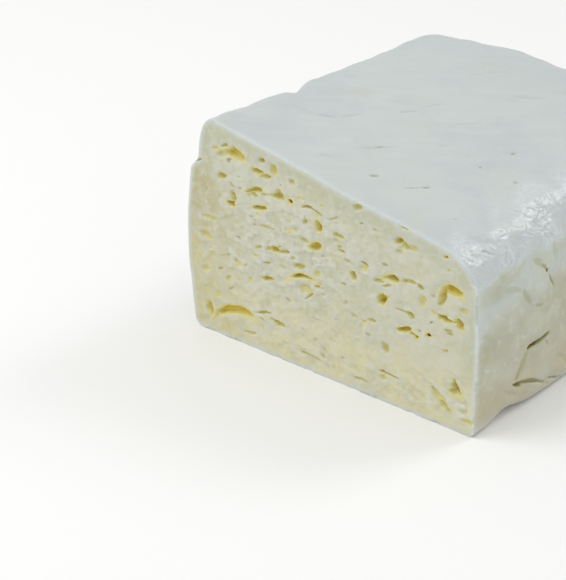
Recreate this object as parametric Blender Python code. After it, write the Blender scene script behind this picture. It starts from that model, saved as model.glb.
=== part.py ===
"""A block of lighvan cheese: one soft, brined piece with a knife-cut face full of gaps.

The cut face stands across the front (-Y). The top falls towards the right (+X), most of all
at the cut, and the moulded sides bulge, roll over at the top and tuck in at the foot.
Lengths are in millimetres until the last step, which turns the block to metres.
"""

import math
import random

import bpy
import bmesh
from mathutils import Matrix, Vector, noise

MM = 0.001

# The block's driving sizes.
WIDTH = 114.0  # across the foot of the cut face
LENGTH = 126.0  # from the cut face to the far end
HEIGHT = 75.4  # of the left edge
TALL_EDGE_X = -49.0  # the line along which the top has its full height
FALL_AT_CUT = 0.185  # how fast the top drops to the right, mm a mm
FALL_AT_END = 0.035
HALF_WIDTH = WIDTH / 2

# The rounding of the edges, as (sideways, upright) radii.
LEFT_SHOULDER = (7.0, 14.0)
RIGHT_SHOULDER_AT_CUT = (12.0, 13.0)
RIGHT_SHOULDER_AT_END = (18.0, 17.0)
END_SHOULDER = (13.0, 14.0)
FOOT = (3.0, 2.5)
FOOT_TUCK = (9.0, 7.0)  # where the right foot curls under
TUCK_Y = 18.0
TUCK_SPREAD = 7.5
CORNER = 15.0  # radius of the two far corners, seen from above

# How the sides leave the upright.
LEFT_BULGE = 2.8  # the belly of the left side, up to BELLY_TOP
BELLY_TOP = 66.0
BELLY_POWER = 1.5
LEFT_LEDGE = 3.0  # the top of that side is set in by this much
LEDGE_FOOT = 55.0
LEDGE_HEAD = 61.0
LEDGE_WAVE = 1.8  # how far the ledge wanders up and down
LEDGE_WAVE_SPAN = 17.0
RIGHT_BULGE = 0.8
RIGHT_LEAN = 1.6

# The soft surface of the moulded sides.
SLOW_LUMP = 0.7
SLOW_LUMP_SPAN = 34.0
QUICK_LUMP = 0.25
QUICK_LUMP_SPAN = 9.0
STILL_FOOT = 5.0  # the lumps fade out below this height
# Swells (+) and dents (-): the middle, the reach each way and the height.
SWELLS = (
    ((-9.0, 114.0, 76.0), (30.0, 22.0, 30.0), 2.9),
    ((-50.0, 41.0, 75.0), (16.0, 5.0, 12.0), -1.5),
    ((57.0, 36.0, 3.0), (12.0, 15.0, 5.0), 1.6),
    ((57.0, 12.0, 40.0), (12.0, 16.0, 15.0), -0.8),
    ((57.0, 62.0, 40.0), (14.0, 18.0, 16.0), -1.3),
    ((57.0, 88.0, 26.0), (14.0, 14.0, 12.0), 1.2),
    ((15.0, 66.0, 68.0), (26.0, 12.0, 20.0), -0.9),
    ((-57.0, 78.0, 30.0), (14.0, 18.0, 14.0), -1.3),
    ((-12.0, 126.0, 34.0), (18.0, 14.0, 13.0), -1.2),
)

CELL = 6.4  # side of a facet on the moulded sides
CROWDING = 0.55  # how much closer the facets stand near the edges, 0 to 1
TOUCH = 0.1  # what lies this near to the cut or the base is part of it
SHARP_ANGLE = 38.0

# The larger gaps in the cut face. Each has the x and z of its middle, its length, height,
# tilt and bend in degrees (a positive bend arches upwards) and its depth.
GAPS = (
    (-41.0, 66.0, 12.0, 5.4, -9, 50, 5.0),
    (-26.8, 64.8, 9.4, 5.2, -4, -70, 3.2),
    (-44.7, 57.3, 3.8, 2.9, -30, 0, 2.6),
    (-40.1, 50.3, 6.0, 2.7, -76, 60, 3.4),
    (-30.6, 55.6, 7.2, 2.7, 10, 30, 3.4),
    (-20.6, 57.6, 6.4, 3.4, -22, 30, 3.8),
    (-28.4, 50.8, 6.2, 2.0, 10, -20, 4.2),
    (-7.2, 56.4, 8.6, 2.0, -14, 60, 3.2),
    (-4.4, 52.6, 5.4, 3.2, -74, 25, 4.4),
    (-5.5, 44.6, 4.6, 3.1, 0, 0, 4.4),
    (-20.4, 38.3, 8.4, 2.4, 4, -15, 3.0),
    (-11.4, 32.2, 9.6, 2.3, -4, 75, 4.2),
    (-12.3, 35.8, 6.2, 2.2, 4, 0, 2.2),
    (-25.8, 26.8, 5.2, 2.0, -6, 20, 2.6),
    (-52.2, 34.5, 6.6, 3.0, -16, 0, 1.6),
    (-50.4, 41.0, 8.4, 2.2, -8, 0, 1.4),
    (-40.8, 10.6, 11.0, 3.2, 2, 55, 3.6),
    (2.8, 50.5, 4.6, 1.9, -8, 0, 2.2),
    (9.6, 39.3, 4.0, 2.4, -58, 60, 3.2),
    (11.0, 62.6, 4.2, 3.0, -10, 0, 3.0),
    (28.0, 55.3, 6.6, 2.9, -24, -10, 3.6),
    (24.2, 42.9, 5.2, 3.1, -10, 40, 4.4),
    (31.9, 43.8, 7.0, 1.4, -8, 30, 2.0),
    (20.7, 35.4, 5.2, 3.6, 88, 0, 5.4),
    (36.2, 39.4, 4.4, 3.2, 82, 0, 1.6),
    (45.2, 44.6, 13.5, 2.8, 14, 165, 4.2),
    (44.6, 36.2, 6.4, 2.5, -10, 10, 3.2),
    (49.6, 35.6, 4.6, 2.5, -48, 0, 3.4),
    (31.6, 33.2, 4.0, 2.4, -28, 20, 3.0),
    (31.0, 27.0, 6.6, 2.5, 0, 20, 4.0),
    (17.1, 26.2, 4.0, 1.8, -10, 0, 2.2),
    (22.8, 18.9, 5.2, 2.3, -76, 50, 2.6),
    (49.8, 16.2, 5.4, 3.8, 74, 0, 5.4),
    (43.6, 8.0, 10.0, 2.2, -30, 10, 2.6),
)
LONG_GAP = 7.5  # gaps longer than this have finer facets

# The smaller gaps and the flakes follow a rule: most lie in a crumbly band, left of the
# middle of the cut.
CRUMBLY_MIDDLE = (-22.0, 38.0)
CRUMBLY_SPREAD = (24.0, 17.0)
SMALL_GAPS = 24
SMALL_GAP_SEED = 11
SMALL_GAP_LENGTHS = (1.3, 3.4)
SMALL_GAP_DEPTHS = (0.8, 1.9)
IN_THE_BAND = 0.72  # the share of them that lie in the band
WALL_BETWEEN = 0.9
# Flakes are shallow scallops where curd came away with the knife.
FLAKES = 9
FLAKE_SEED = 4
FLAKE_LENGTHS = (5.0, 10.0)
FLAKE_DEPTHS = (0.5, 0.8)
FLAKE_BEND = 15

# Slits in the moulded skin: a place on the plain box, the side it faces, length, width,
# depth and tilt.
SLITS = (
    ((57.0, 34.2, 25.0), "right", 11.5, 1.3, 4.0, 9.0),
    ((57.0, 30.0, 9.0), "right", 18.0, 1.5, 2.4, -13.0),
    ((57.0, 38.4, 54.0), "right", 3.4, 1.6, 2.0, -50.0),
    ((57.0, 79.0, 40.0), "right", 7.0, 1.0, 2.2, 24.0),
    ((-4.0, 31.0, 75.4), "top", 6.5, 1.2, 1.6, 40.0),
    ((6.0, 17.0, 75.4), "top", 4.0, 1.0, 1.4, 44.0),
    ((21.5, 21.5, 75.4), "top", 6.0, 1.1, 1.8, 36.0),
    ((27.0, 61.0, 75.4), "top", 3.6, 1.4, 1.6, 60.0),
    ((37.0, 47.0, 75.4), "top", 2.8, 1.1, 1.2, 30.0),
    ((-13.0, 57.0, 75.4), "top", 4.6, 1.0, 1.4, 34.0),
    ((-57.0, 52.0, 40.0), "left", 9.0, 1.3, 3.0, 12.0),
    ((-22.0, 126.0, 44.0), "end", 8.0, 1.2, 3.0, -8.0),
    ((24.0, 126.0, 24.0), "end", 4.5, 1.8, 2.4, 20.0),
)
# The turn that takes a gap in the cut face to another side.
FACING = {
    "cut": Matrix.Identity(3),
    "right": Matrix.Rotation(math.pi / 2, 3, "Z"),
    "left": Matrix.Rotation(-math.pi / 2, 3, "Z"),
    "end": Matrix.Rotation(math.pi, 3, "Z"),
    "top": Matrix.Rotation(-math.pi / 2, 3, "X"),
}

# The form of every hollow.
BROAD_UNEVEN = 0.38  # share by which its size wanders
BROAD_RATE = 1.35  # how often it does, to a radius
FINE_UNEVEN = 0.20
FINE_RATE = 3.1
TAPER = 0.3  # one end is taller than the other by up to this share, each way
UNDERCUT = 0.22  # share of its depth by which its widest place lies behind the surface

CREAM = (0.60, 0.585, 0.50, 1.0)
ROUGHNESS = 0.42


def clear_scene():
    for obj in list(bpy.data.objects):
        bpy.data.objects.remove(obj)


def new_collection(name):
    collection = bpy.data.collections.new(name)
    bpy.context.scene.collection.children.link(collection)
    return collection


def smooth_step(low, high, value):
    share = min(1.0, max(0.0, (value - low) / (high - low)))
    return share * share * (3 - 2 * share)


def blend(first, second, share):
    return first + (second - first) * share


def bell(distance):
    return math.exp(-distance * distance)


def top_height(x, y):
    """Height of the top before its edges are rounded."""
    fall = blend(FALL_AT_CUT, FALL_AT_END, y / LENGTH)
    return HEIGHT - fall * (x - TALL_EDGE_X)


def stations(low, high):
    """Where to slice one side of the box, closer together towards its ends."""
    count = round((high - low) / CELL)
    for step in range(1, count):
        even = 2 * step / count - 1
        crowded = -math.cos(math.pi * step / count)
        yield blend(low, high, (blend(even, crowded, CROWDING) + 1) / 2)


def slice_box(mesh):
    """Cuts a plain box into a grid by planes across each axis."""
    grid = bmesh.new()
    grid.from_mesh(mesh)
    sides = ((-HALF_WIDTH, HALF_WIDTH), (0.0, LENGTH), (0.0, HEIGHT))
    for axis, (low, high) in enumerate(sides):
        across = Vector((0, 0, 0))
        across[axis] = 1
        for place in stations(low, high):
            everything = grid.verts[:] + grid.edges[:] + grid.faces[:]
            bmesh.ops.bisect_plane(
                grid, geom=everything, dist=TOUCH / 10, plane_co=across * place, plane_no=across
            )
    grid.to_mesh(mesh)
    grid.free()


def plan_depth(x, y):
    """How far a point lies inside the outline seen from above, and the way out."""
    beside = HALF_WIDTH - abs(x)
    before = LENGTH - y
    if max(beside, before) < CORNER:
        out = Vector((math.copysign(CORNER - beside, x), CORNER - before))
        return CORNER - out.length, out.normalized()
    if beside < before:
        return beside, Vector((math.copysign(1.0, x), 0.0))
    return before, Vector((0.0, 1.0))


def round_corners(x, y):
    """Turns the two far corners round, seen from above."""
    reach = Vector((max(0.0, abs(x) - HALF_WIDTH + CORNER), max(0.0, y - LENGTH + CORNER)))
    if min(reach) <= 0.0:
        return x, y
    reach = reach * (max(reach) / reach.length)
    return math.copysign(HALF_WIDTH - CORNER + reach.x, x), LENGTH - CORNER + reach.y


def edge_radii(x, y, upper, endward):
    """The rounding of the edge nearest to a point: sideways and upright."""
    if not upper:
        tuck = bell((y - TUCK_Y) / TUCK_SPREAD) if x > 0 else 0.0
        return [blend(a, b, tuck) for a, b in zip(FOOT, FOOT_TUCK)]
    shoulder = LEFT_SHOULDER
    if x > 0:
        shoulder_ends = zip(RIGHT_SHOULDER_AT_CUT, RIGHT_SHOULDER_AT_END)
        shoulder = [blend(a, b, y / LENGTH) for a, b in shoulder_ends]
    return [blend(a, b, endward) for a, b in zip(shoulder, END_SHOULDER)]


def rounded(x, y, z):
    """Turns the edges of the plain box round; those of the cut stay sharp."""
    x, y = round_corners(x, y)
    depth, out = plan_depth(x, y)
    upper = z > HEIGHT / 2
    side, upright = edge_radii(x, y, upper, out.y * out.y)
    from_flat = HEIGHT - z if upper else z
    if depth >= side or from_flat >= upright:
        return x, y, z
    turn = Vector((1 - depth / side, 1 - from_flat / upright)).normalized()
    pull = side * (1 - turn.x) - depth
    from_flat = upright * (1 - turn.y)
    return x - out.x * pull, y - out.y * pull, HEIGHT - from_flat if upper else from_flat


def bulged(x, y, z):
    """The belly and the ledge of the left side, and the slight lean of the right one."""
    share = x / HALF_WIDTH
    if x > 0:
        upward = z / HEIGHT
        return x + share * (RIGHT_BULGE * math.sin(math.pi * upward) - RIGHT_LEAN * upward)
    belly = LEFT_BULGE * math.sin(math.pi * min(1.0, z / BELLY_TOP)) ** BELLY_POWER
    wander = LEDGE_WAVE * math.sin(y / LEDGE_WAVE_SPAN)
    ledge = LEFT_LEDGE * smooth_step(LEDGE_FOOT + wander, LEDGE_HEAD + wander, z)
    return x + share * (belly - ledge)


def formed(point):
    """The point of the block's outside that a point of the plain box becomes."""
    x, y, z = rounded(*point)
    x = bulged(x, y, z)
    return Vector((x, y, z * top_height(x, y) / HEIGHT))


def swell(point):
    """How far the soft surface stands out at a point of a moulded side."""
    height = SLOW_LUMP * noise.noise(point / SLOW_LUMP_SPAN)
    height += QUICK_LUMP * noise.noise(point / QUICK_LUMP_SPAN)
    for middle, reach, rise in SWELLS:
        away = Vector(p / r for p, r in zip(point - Vector(middle), reach))
        height += rise * bell(away.length)
    return height * smooth_step(0.0, STILL_FOOT, point.z)


def swell_sides(mesh):
    """Moves the moulded sides in and out, and leaves the cut and the base flat."""
    mesh.update()
    outward = [vertex.normal.copy() for vertex in mesh.vertices]
    for vertex, normal in zip(mesh.vertices, outward):
        if vertex.co.y < TOUCH:
            normal.y = 0.0
        vertex.co += normal * swell(vertex.co)


def join_flats(mesh):
    """Makes one face of the cut and one of the base."""
    form = bmesh.new()
    form.from_mesh(mesh)
    for axis in (1, 2):
        flat = [face for face in form.faces if all(v.co[axis] < TOUCH for v in face.verts)]
        bmesh.ops.dissolve_faces(form, faces=flat)
    form.to_mesh(mesh)
    form.free()


def cheese_block():
    """The whole block, as it was before the knife opened its gaps."""
    bpy.ops.mesh.primitive_cube_add(size=1)
    block = bpy.context.object
    block.name = "cheese_block"
    mesh = block.data
    mesh.transform(Matrix.Diagonal((WIDTH, LENGTH, HEIGHT, 1)))
    mesh.transform(Matrix.Translation((0, LENGTH / 2, HEIGHT / 2)))
    slice_box(mesh)
    for vertex in mesh.vertices:
        vertex.co = formed(vertex.co)
    swell_sides(mesh)
    join_flats(mesh)
    return block


def bent(point, length, bend):
    """Curls a point of a straight hollow round an arc of that many degrees."""
    if bend == 0:
        return point
    radius = length / math.radians(bend)
    angle = point.x / radius
    reach = radius + point.z
    return Vector((reach * math.sin(angle), point.y, reach * math.cos(angle) - radius))


def hollow(name, size, depth, bend=0, seed=0, fineness=2):
    """A cutter for an uneven hollow that opens towards -Y, centred on the origin."""
    length, height = size
    form = bmesh.new()
    bmesh.ops.create_icosphere(form, subdivisions=fineness, radius=1.0)
    shift = Vector((seed * 3.1, seed * 1.7, seed * 2.3))
    taper = TAPER * math.sin(seed * 5.0)
    for vertex in form.verts:
        point = vertex.co.copy()
        uneven = 1 + BROAD_UNEVEN * noise.noise(point * BROAD_RATE + shift)
        uneven += FINE_UNEVEN * noise.noise(point * FINE_RATE - shift)
        point.z *= (1 + taper * point.x) * height / 2
        point.x *= length / 2
        point.y *= depth
        vertex.co = bent(point * uneven, length, bend)
        vertex.co.y += UNDERCUT * depth
    mesh = bpy.data.meshes.new(name)
    form.to_mesh(mesh)
    form.free()
    return bpy.data.objects.new(name, mesh)


def place(cutter, middle, tilt, side="cut"):
    turn = FACING[side] @ Matrix.Rotation(math.radians(-tilt), 3, "Y")
    cutter.data.transform(turn.to_4x4())
    cutter.location = middle
    return cutter


def large_gaps():
    for seed, (x, z, length, height, tilt, bend, depth) in enumerate(GAPS, start=1):
        fineness = 3 if length > LONG_GAP else 2
        cutter = hollow(f"gap_{seed}", (length, height), depth, bend, seed, fineness)
        yield place(cutter, (x, 0, z), tilt)


def place_in_band(draw):
    x = draw.gauss(CRUMBLY_MIDDLE[0], CRUMBLY_SPREAD[0])
    z = draw.gauss(CRUMBLY_MIDDLE[1], CRUMBLY_SPREAD[1])
    return x, z


def place_on_cut(draw):
    return draw.uniform(-HALF_WIDTH, HALF_WIDTH), draw.uniform(0, HEIGHT)


def inside_cut(x, z, margin):
    """True where a point lies on the cut face, that far from its edges."""
    return abs(x) < HALF_WIDTH - margin and margin < z < top_height(x, 0) - margin


def small_gaps():
    """Gaps of a few millimetres, thickest in the crumbly band, none across another."""
    draw = random.Random(SMALL_GAP_SEED)
    taken = [(x, z, length / 2) for x, z, length, *_ in GAPS]
    last = len(taken) + SMALL_GAPS
    while len(taken) < last:
        x, z = place_in_band(draw) if draw.random() < IN_THE_BAND else place_on_cut(draw)
        length = draw.uniform(*SMALL_GAP_LENGTHS)
        reach = length / 2 + WALL_BETWEEN
        crowded = any(math.hypot(x - tx, z - tz) < reach + size for tx, tz, size in taken)
        if crowded or not inside_cut(x, z, margin=4.0):
            continue
        taken.append((x, z, length / 2))
        size = (length, length * draw.uniform(0.45, 0.85))
        cutter = hollow("small_gap", size, draw.uniform(*SMALL_GAP_DEPTHS), seed=len(taken))
        yield place(cutter, (x, 0, z), draw.gauss(-8, 22))


def flakes():
    draw = random.Random(FLAKE_SEED)
    made = 0
    while made < FLAKES:
        x, z = place_in_band(draw)
        if not inside_cut(x, z, margin=6.0):
            continue
        made += 1
        length = draw.uniform(*FLAKE_LENGTHS)
        size = (length, length * draw.uniform(0.3, 0.5))
        cutter = hollow("flake", size, draw.uniform(*FLAKE_DEPTHS), FLAKE_BEND, seed=made)
        yield place(cutter, (x, 0, z), draw.gauss(0, 14))


def skin_slits():
    for seed, (spot, side, length, width, depth, tilt) in enumerate(SLITS):
        cutter = hollow(f"slit_{seed}", (length, width), depth, seed=seed)
        yield place(cutter, formed(spot), tilt, side)


def cut_with(block, hollows):
    """Takes all the hollows out of the block with one Boolean, then removes the cutters."""
    cutters = new_collection("cutters")
    for cutter in hollows:
        cutter.hide_render = True
        cutter.display_type = "WIRE"
        cutters.objects.link(cutter)
    cut = block.modifiers.new("gaps", "BOOLEAN")
    cut.operation = "DIFFERENCE"
    cut.operand_type = "COLLECTION"
    cut.collection = cutters
    bpy.context.view_layer.objects.active = block
    bpy.ops.object.modifier_apply(modifier=cut.name)
    for cutter in list(cutters.objects):
        bpy.data.objects.remove(cutter)
    bpy.data.collections.remove(cutters)


def moist_curd():
    """Fresh curd: off-white, with a soft sheen."""
    material = bpy.data.materials.new("moist curd")
    material.use_nodes = True
    shader = material.node_tree.nodes["Principled BSDF"]
    shader.inputs["Base Color"].default_value = CREAM
    shader.inputs["Roughness"].default_value = ROUGHNESS
    shader.inputs["Metallic"].default_value = 0.0
    return material


def stand_on_origin(block):
    """Puts the middle of the block's underside on the origin, and turns it to metres."""
    corners = [vertex.co for vertex in block.data.vertices]
    low = [min(corner[axis] for corner in corners) for axis in range(3)]
    high = [max(corner[axis] for corner in corners) for axis in range(3)]
    middle = Vector(((low[0] + high[0]) / 2, (low[1] + high[1]) / 2, low[2]))
    block.data.transform(Matrix.Translation(-middle))
    block.data.transform(Matrix.Scale(MM, 4))


def keep_in(collection, block):
    for other in list(block.users_collection):
        other.objects.unlink(block)
    collection.objects.link(block)


clear_scene()
block = cheese_block()
keep_in(new_collection("lighvan cheese"), block)
cut_with(block, [*large_gaps(), *small_gaps(), *flakes(), *skin_slits()])
stand_on_origin(block)
block.data.materials.append(moist_curd())
block.data.shade_smooth()
block.data.set_sharp_from_angle(angle=math.radians(SHARP_ANGLE))
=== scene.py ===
import math
import random

import bmesh
import bpy
import numpy as np
from mathutils import Matrix, Vector, noise
from mathutils.kdtree import KDTree


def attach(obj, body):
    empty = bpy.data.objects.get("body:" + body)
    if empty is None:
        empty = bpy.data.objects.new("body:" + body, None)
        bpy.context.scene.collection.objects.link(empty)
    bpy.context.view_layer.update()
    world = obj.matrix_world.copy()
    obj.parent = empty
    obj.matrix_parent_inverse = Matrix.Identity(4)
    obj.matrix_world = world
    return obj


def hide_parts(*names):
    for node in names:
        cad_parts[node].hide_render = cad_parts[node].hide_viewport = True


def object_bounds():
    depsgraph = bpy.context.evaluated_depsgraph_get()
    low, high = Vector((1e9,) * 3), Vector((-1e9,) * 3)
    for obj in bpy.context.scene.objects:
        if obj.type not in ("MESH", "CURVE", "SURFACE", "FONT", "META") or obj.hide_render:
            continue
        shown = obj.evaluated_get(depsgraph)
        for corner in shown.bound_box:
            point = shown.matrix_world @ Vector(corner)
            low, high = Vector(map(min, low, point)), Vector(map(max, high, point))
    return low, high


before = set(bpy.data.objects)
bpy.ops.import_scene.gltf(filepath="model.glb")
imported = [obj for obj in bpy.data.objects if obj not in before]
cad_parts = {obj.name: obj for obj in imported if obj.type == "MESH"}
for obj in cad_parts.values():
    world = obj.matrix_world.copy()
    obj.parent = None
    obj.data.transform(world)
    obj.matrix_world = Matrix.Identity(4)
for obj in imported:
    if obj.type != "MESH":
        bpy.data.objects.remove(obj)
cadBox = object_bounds()

# the cheese is modelled in millimetres and turned to metres at the end
mm = 0.001
tiny = 1e-9  # keeps a division off nought
onPlane = 0.01  # a point this near the knife's plane lies on it

# the block before its gaps, with the same sizes as the solid part
blockForm = {
    "width": 114.0,
    "length": 126.0,
    "height": 75.4,
    "tallEdgeX": -49.0,  # where the top is as high as that
    "fallAtCut": 0.185,  # how fast the top drops to the right, at the cut and at the far end
    "fallAtEnd": 0.035,
    "leftShoulder": (7.0, 14.0),  # radii, sideways and upright
    "rightShoulderAtCut": (12.0, 13.0),
    "rightShoulderAtEnd": (18.0, 17.0),
    "foot": (3.0, 2.5),
    "footTuck": (9.0, 7.0),  # the foot where the right wall tucks under, and where that is
    "tuckY": 18.0,
    "tuckSpread": 7.5,
    "endShoulder": (13.0, 14.0),
    "corner": 15.0,  # radius of the two far corners, seen from above
    "leftBulge": 2.8,  # the left wall's belly, its upper end and how full it is
    "bellyTop": 66.0,
    "bellyPower": 1.5,
    "leftLedge": 3.0,  # the step above it, where it starts and ends, and its wave
    "ledgeFoot": 55.0,
    "ledgeHead": 61.0,
    "ledgeWave": 1.8,
    "ledgeWaveSpan": 17.0,
    "rightBulge": 0.8,
    "rightLean": 1.6,  # how far the right wall leans in at the top
    "slowLump": (0.7, 34.0),  # height and span
    "quickLump": (0.25, 9.0),
    "stillFoot": 5.0,  # the lumps fade out below this height
    "cuts": 260,  # rows of faces along each edge
    "evenRows": 0.55,  # the rest of the rows crowd towards the cut
    "triangles": 195000,  # left after thinning
}
# soft swells and dents: middle, reach, height
swells = (
    ((-9.0, 114.0, 76.0), (30.0, 22.0, 30.0), 2.9),
    ((-50.0, 41.0, 75.0), (16.0, 5.0, 12.0), -1.5),
    ((57.0, 36.0, 3.0), (12.0, 15.0, 5.0), 1.6),
    ((57.0, 12.0, 40.0), (12.0, 16.0, 15.0), -0.8),
    ((57.0, 62.0, 40.0), (14.0, 18.0, 16.0), -1.3),
    ((57.0, 88.0, 26.0), (14.0, 14.0, 12.0), 1.2),
    ((15.0, 66.0, 68.0), (26.0, 12.0, 20.0), -0.9),
    ((-57.0, 78.0, 30.0), (14.0, 18.0, 14.0), -1.3),
    ((-12.0, 126.0, 34.0), (18.0, 14.0, 13.0), -1.2),
)


def smoothStep(low, high, value):
    share = np.clip((value - low) / (high - low), 0.0, 1.0)
    return share * share * (3 - 2 * share)


def mixed(first, second, share):
    return first + (second - first) * share


def bell(distance):
    return np.exp(-distance * distance)


# where each form reads the noise, so that no two repeat one another
noisePlaces = {
    "block": 0.0,
    "rims": 3.0,
    "crumbs": 9.0,
    "terrace": 2.0,
    "terraceDetail": 6.0,
    "wear": 41.0,
    "footWear": 43.0,
    "rind": 33.0,
    "lowWallShade": 37.0,
    "lumps": 13.0,
    "creases": 19.0,
    "creasePatches": 31.0,
    "footLine": 27.0,
    "footPatches": 29.0,
    "filmEdge": 45.0,
    "filmTip": 47.0,
    "filmPatches": 3.0,
    "streaks": 1.0,
    "dimples": 8.0,
    "peel": 5.0,
    "folds": 7.0,
    "foldWarpX": 11.0,
    "foldWarpY": 17.0,
    "foldWarpZ": 23.0,
}


def noiseAt(points, span, form):
    # gradient noise from about -1 to 1, whose lumps are span millimetres apart
    read = (points / span + noisePlaces[form]).tolist()
    return np.array([noise.noise(point) for point in read])


def topHeight(x, y):
    fall = mixed(blockForm["fallAtCut"], blockForm["fallAtEnd"], y / blockForm["length"])
    return blockForm["height"] - fall * (x - blockForm["tallEdgeX"])


def planDepth(x, y):
    # how far a point lies behind the side walls, and which way is straight out from there
    half, length, corner = blockForm["width"] / 2, blockForm["length"], blockForm["corner"]
    beside = half - np.abs(x)
    before = length - y
    fromCentre = np.stack((corner - beside, corner - before))
    reach = np.linalg.norm(fromCentre, axis=0)
    inCorner = np.maximum(beside, before) < corner
    depth = np.where(inCorner, corner - reach, np.minimum(beside, before))
    straight = beside < before, beside >= before
    outward = np.where(inCorner, fromCentre / np.maximum(reach, tiny), straight)
    return depth, outward[0] * np.sign(x), outward[1]


def roundCorners(x, y):
    # turns the two far corners of the plan into arcs
    edges = blockForm["width"] / 2 - blockForm["corner"], blockForm["length"] - blockForm["corner"]
    reach = np.maximum((np.abs(x) - edges[0], y - edges[1]), 0.0)
    pull = reach.max(axis=0) / np.maximum(np.linalg.norm(reach, axis=0), tiny)
    inCorner = reach.min(axis=0) > 0
    x = np.where(inCorner, np.sign(x) * (edges[0] + reach[0] * pull), x)
    return x, np.where(inCorner, edges[1] + reach[1] * pull, y)


def edgeRadii(x, y, upper, endward):
    # how round the block's edges are near each point, sideways and then upright
    tuck = bell((y - blockForm["tuckY"]) / blockForm["tuckSpread"]) * (x > 0)
    for which in (0, 1):
        foot = mixed(blockForm["foot"][which], blockForm["footTuck"][which], tuck)
        atCut = blockForm["rightShoulderAtCut"][which]
        atEnd = blockForm["rightShoulderAtEnd"][which]
        right = mixed(atCut, atEnd, y / blockForm["length"])
        shoulder = np.where(x > 0, right, blockForm["leftShoulder"][which])
        shoulder = mixed(shoulder, blockForm["endShoulder"][which], endward)
        yield np.where(upper, shoulder, foot)


def roundBox(points):
    # pulls the points of a plain box in, so that its edges turn round; the cut stays sharp
    x, y = roundCorners(points[:, 0], points[:, 1])
    z = points[:, 2]
    depth, outX, outY = planDepth(x, y)
    upper = z > blockForm["height"] / 2
    side, upright = edgeRadii(x, y, upper, outY * outY)
    fromFlat = np.where(upper, blockForm["height"] - z, z)
    turning = (depth < side) & (fromFlat < upright)
    turn = np.stack((1 - depth / side, 1 - fromFlat / upright))
    turn *= turn.max(axis=0) / np.maximum(np.linalg.norm(turn, axis=0), tiny)
    pull = np.where(turning, side * (1 - turn[0]) - depth, 0.0)
    fromFlat = np.where(turning, upright * (1 - turn[1]), fromFlat)
    z = np.where(upper, blockForm["height"] - fromFlat, fromFlat)
    return np.stack((x - outX * pull, y - outY * pull, z), axis=1)


def formBlock(points):
    x, y, z = roundBox(points).T
    share = x / (blockForm["width"] / 2)
    upward = z / blockForm["height"]
    rightSide = blockForm["rightBulge"] * np.sin(math.pi * upward) - blockForm["rightLean"] * upward
    arch = np.sin(math.pi * np.minimum(1.0, z / blockForm["bellyTop"]))
    belly = blockForm["leftBulge"] * np.maximum(arch, 0) ** blockForm["bellyPower"]
    wander = blockForm["ledgeWave"] * np.sin(y / blockForm["ledgeWaveSpan"])
    ledge = smoothStep(blockForm["ledgeFoot"] + wander, blockForm["ledgeHead"] + wander, z)
    leftSide = belly - blockForm["leftLedge"] * ledge
    x = x + share * np.where(x > 0, rightSide, leftSide)
    return np.stack((x, y, z * topHeight(x, y) / blockForm["height"]), axis=1)


def swellAt(points):
    height = np.zeros(len(points))
    for rise, span in (blockForm["slowLump"], blockForm["quickLump"]):
        height += rise * noiseAt(points, span, "block")
    for middle, reach, rise in swells:
        height += rise * bell(np.linalg.norm((points - middle) / reach, axis=1))
    return height * smoothStep(0.0, blockForm["stillFoot"], points[:, 2])


def readPoints(mesh):
    points = np.empty(len(mesh.vertices) * 3)
    mesh.vertices.foreach_get("co", points)
    return points.reshape(-1, 3)


def readNormals(mesh):
    normals = np.empty(len(mesh.vertices) * 3)
    mesh.vertex_normals.foreach_get("vector", normals)
    return normals.reshape(-1, 3)


def writePoints(mesh, points):
    mesh.vertices.foreach_set("co", points.ravel())
    mesh.update()


def makeBlock():
    bpy.ops.mesh.primitive_cube_add(size=2)
    block = bpy.context.object
    block.name = "cheeseBlock"
    mesh = block.data
    grid = bmesh.new()
    grid.from_mesh(mesh)
    bmesh.ops.subdivide_edges(grid, edges=grid.edges[:], cuts=blockForm["cuts"], use_grid_fill=True)
    grid.to_mesh(mesh)
    grid.free()
    share = (readPoints(mesh) + 1) / 2
    share[:, 1] = mixed(share[:, 1] ** 2, share[:, 1], blockForm["evenRows"])
    size = np.array((blockForm["width"], blockForm["length"], blockForm["height"]))
    points = formBlock(share * size - (blockForm["width"] / 2, 0, 0))
    writePoints(mesh, points)
    outward = readNormals(mesh)
    outward[points[:, 1] < onPlane, 1] = 0.0
    writePoints(mesh, points + outward * swellAt(points)[:, None])
    return block
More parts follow.
